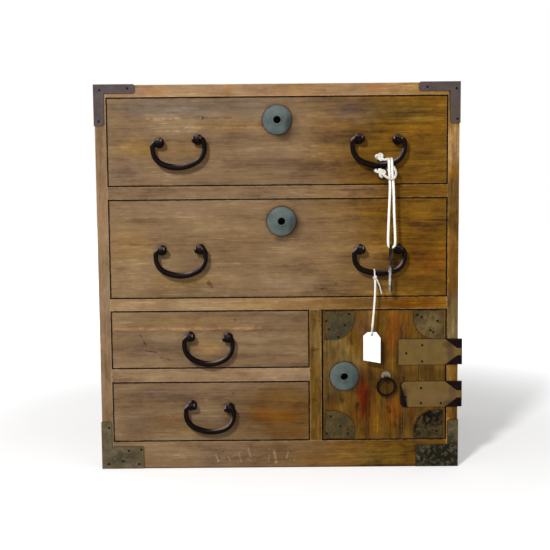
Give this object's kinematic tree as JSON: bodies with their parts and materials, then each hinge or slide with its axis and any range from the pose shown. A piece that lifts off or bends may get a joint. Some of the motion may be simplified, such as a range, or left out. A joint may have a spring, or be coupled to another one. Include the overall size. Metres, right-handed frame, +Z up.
{
  "type": "small tansu chest",
  "caption": "Small wooden tansu chest with full and half width drawers, a hinged cupboard door, bail handles, iron corners, round lock plates, and a key on a cord.",
  "frame": {"origin": "centre of the chest's footprint, at the floor", "axes": "+Z up, -Y to the front, X across"},
  "size_m": [0.4567, 0.3219, 0.483],
  "materials": {
    "pine_frame": "aged softwood, oiled",
    "pine_front": "aged softwood, oiled, worn edges",
    "pine_door": "aged softwood, upright grain",
    "pine_inside": "bare softwood",
    "black_iron": "forged, blackened",
    "plate_iron": "blue-grey patina",
    "sheet_iron": "dull brown-grey sheet",
    "door_iron": "rusted dark sheet",
    "hinge_iron": "painted over, matt",
    "key_iron": "worn bright",
    "cotton_cord": "undyed cotton",
    "card": "white card"
  },
  "bodies": {
    "carcass": {"side_left": "pine_frame", "side_right": "pine_frame", "top_board": "pine_frame", "bottom_board": "pine_inside", "back_panel": "pine_inside", "base_rail": "pine_frame", "rail_upper": "pine_frame", "rail_middle": "pine_frame", "rail_lower": "pine_frame", "divider": "pine_frame", "dust_board_upper": "pine_inside", "dust_board_middle": "pine_inside", "dust_board_lower": "pine_inside", "door_stop": "pine_inside", "corner_irons_top": "sheet_iron", "corner_irons_bottom": "door_iron", "hinge_side_leaves": "hinge_iron", "hinge_pins": "black_iron"},
    "drawer_1": {"drawer_1_front": "pine_front", "drawer_1_walls": "pine_inside", "drawer_1_bottom": "pine_inside", "drawer_1_handle_posts": "black_iron", "drawer_1_lock_plate": "plate_iron", "drawer_1_lock_case": "black_iron"},
    "drawer_2": {"drawer_2_front": "pine_front", "drawer_2_walls": "pine_inside", "drawer_2_bottom": "pine_inside", "drawer_2_handle_posts": "black_iron", "drawer_2_lock_plate": "plate_iron", "drawer_2_lock_case": "black_iron"},
    "drawer_3": {"drawer_3_front": "pine_front", "drawer_3_walls": "pine_inside", "drawer_3_bottom": "pine_inside", "drawer_3_handle_posts": "black_iron"},
    "drawer_4": {"drawer_4_front": "pine_front", "drawer_4_walls": "pine_inside", "drawer_4_bottom": "pine_inside", "drawer_4_handle_posts": "black_iron"},
    "door": {"door_panel": "pine_door", "door_battens": "pine_inside", "door_corner_irons": "door_iron", "hinge_door_leaves": "hinge_iron", "door_lock_plate": "plate_iron", "door_lock_case": "black_iron", "ring_pull_boss": "black_iron"},
    "drawer_1_bolt": {"drawer_1_lock_bolt": "black_iron"},
    "drawer_2_bolt": {"drawer_2_lock_bolt": "black_iron"},
    "door_bolt": {"door_lock_bolt": "black_iron"},
    "handle_1_left_bail": {"handle_1_left": "black_iron"},
    "handle_1_right_bail": {"handle_1_right": "black_iron"},
    "handle_2_left_bail": {"handle_2_left": "black_iron"},
    "handle_2_right_bail": {"handle_2_right": "black_iron"},
    "handle_3_bail": {"handle_3": "black_iron"},
    "handle_4_bail": {"handle_4": "black_iron"},
    "door_ring": {"ring_pull": "black_iron"},
    "cord_hitch": {"key_cord_turns": "cotton_cord"},
    "key_loop": {"key_cord": "cotton_cord", "key": "key_iron"},
    "tag": {"price_tag": "card", "tag_string": "cotton_cord"}
  },
  "joints": [
    {"name": "drawer_1_slide", "type": "slide", "parent": "carcass", "child": "drawer_1", "axis": [0, -1, 0], "range_m": [0, 0.255]},
    {"name": "drawer_2_slide", "type": "slide", "parent": "carcass", "child": "drawer_2", "axis": [0, -1, 0], "range_m": [0, 0.255]},
    {"name": "drawer_3_slide", "type": "slide", "parent": "carcass", "child": "drawer_3", "axis": [0, -1, 0], "range_m": [0, 0.255]},
    {"name": "drawer_4_slide", "type": "slide", "parent": "carcass", "child": "drawer_4", "axis": [0, -1, 0], "range_m": [0, 0.255]},
    {"name": "door_hinge", "type": "hinge", "parent": "carcass", "child": "door", "pos_m": [0.228, -0.1413, 0.12], "axis": [0, 0, 1], "range_deg": [0, 180], "deforming": ["price_tag", "tag_string"]},
    {"name": "drawer_1_bolt_slide", "type": "slide", "parent": "drawer_1", "child": "drawer_1_bolt", "axis": [0, 0, 1], "range_m": [0, 0.005]},
    {"name": "drawer_2_bolt_slide", "type": "slide", "parent": "drawer_2", "child": "drawer_2_bolt", "axis": [0, 0, 1], "range_m": [0, 0.005]},
    {"name": "door_bolt_slide", "type": "slide", "parent": "door", "child": "door_bolt", "axis": [-1, 0, 0], "range_m": [0, 0.005]},
    {"name": "handle_1_left_lift", "type": "hinge", "parent": "drawer_1", "child": "handle_1_left_bail", "pos_m": [-0.1219, -0.152, 0.4128], "axis": [-0.9969, 0, -0.0785], "range_deg": [0, 100]},
    {"name": "handle_1_right_lift", "type": "hinge", "parent": "drawer_1", "child": "handle_1_right_bail", "pos_m": [0.1246, -0.152, 0.4132], "axis": [-0.9997, 0, 0.0262], "range_deg": [0, 100]},
    {"name": "handle_2_left_lift", "type": "hinge", "parent": "drawer_2", "child": "handle_2_left_bail", "pos_m": [-0.121, -0.152, 0.2785], "axis": [-0.9998, 0, -0.0175], "range_deg": [0, 100]},
    {"name": "handle_2_right_lift", "type": "hinge", "parent": "drawer_2", "child": "handle_2_right_bail", "pos_m": [0.1255, -0.152, 0.2772], "axis": [-1, 0, 0], "range_deg": [0, 100]},
    {"name": "handle_3_lift", "type": "hinge", "parent": "drawer_3", "child": "handle_3_bail", "pos_m": [-0.0878, -0.152, 0.1683], "axis": [-0.9994, 0, 0.0349], "range_deg": [0, 100]},
    {"name": "handle_4_lift", "type": "hinge", "parent": "drawer_4", "child": "handle_4_bail", "pos_m": [-0.0868, -0.152, 0.0798], "axis": [-0.9969, 0, 0.0785], "range_deg": [0, 100]},
    {"name": "door_ring_lift", "type": "hinge", "parent": "door", "child": "door_ring", "pos_m": [0.1347, -0.148, 0.11495], "axis": [-1, 0, 0], "range_deg": [0, 100]},
    {"name": "cord_hitch_turn", "type": "hinge", "parent": "handle_1_right_bail", "child": "cord_hitch", "pos_m": [0.1382, -0.152, 0.38201], "axis": [-0.9997, 0, 0.0262], "range_deg": [-100, 0]},
    {"name": "key_loop_swing", "type": "hinge", "parent": "cord_hitch", "child": "key_loop", "pos_m": [0.1382, -0.152, 0.38201], "axis": [-1, 0, 0], "range_deg": [0, 24]},
    {"name": "tag_swing", "type": "hinge", "parent": "handle_2_right_bail", "child": "tag", "pos_m": [0.119, -0.152, 0.24788], "axis": [-1, 0, 0], "range_deg": [-100, 0]}
  ],
  "couplings": [
    {"joint": "cord_hitch_turn", "follows": "handle_1_right_lift", "ratio": -1},
    {"joint": "key_loop_swing", "follows": "handle_2_right_lift", "ratio": 0.24},
    {"joint": "tag_swing", "follows": "handle_2_right_lift", "ratio": -1}
  ]
}
